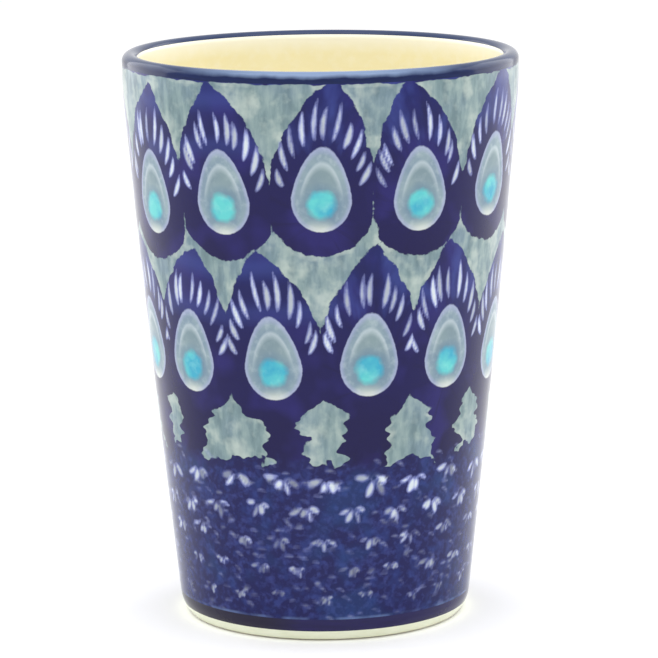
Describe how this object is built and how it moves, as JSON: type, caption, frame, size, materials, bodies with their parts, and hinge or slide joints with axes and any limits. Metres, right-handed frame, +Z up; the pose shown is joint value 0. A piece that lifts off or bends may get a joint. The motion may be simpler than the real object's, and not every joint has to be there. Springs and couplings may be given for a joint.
{
  "type": "stoneware tumbler",
  "caption": "Tall tapered stoneware cup without a handle, rounded lip, trimmed foot ring, clear glazed over a hand-stamped blue feather pattern.",
  "frame": {"origin": "centre of the foot ring's resting face, on the table plane", "axes": "+Z up along the turning axis; the cup is a solid of revolution, and +X and +Y are any two square directions round it"},
  "size_m": [0.088, 0.088, 0.127],
  "materials": {
    "clay": "fired, unglazed",
    "cream_glaze": "gloss clear glaze over cream slip",
    "cobalt_line": "gloss clear glaze over banded cobalt",
    "stamped_glaze": "gloss clear glaze over stamped and brushed colours",
    "clear_glaze": "gloss clear glaze over light clay"
  },
  "bodies": {
    "root": {"clay_body": "clay", "inside_glaze": "cream_glaze", "lip_line_glaze": "cobalt_line", "wall_glaze": "stamped_glaze", "base_line_glaze": "cobalt_line", "foot_glaze": "clear_glaze", "underside_glaze": "clear_glaze"}
  },
  "joints": []
}
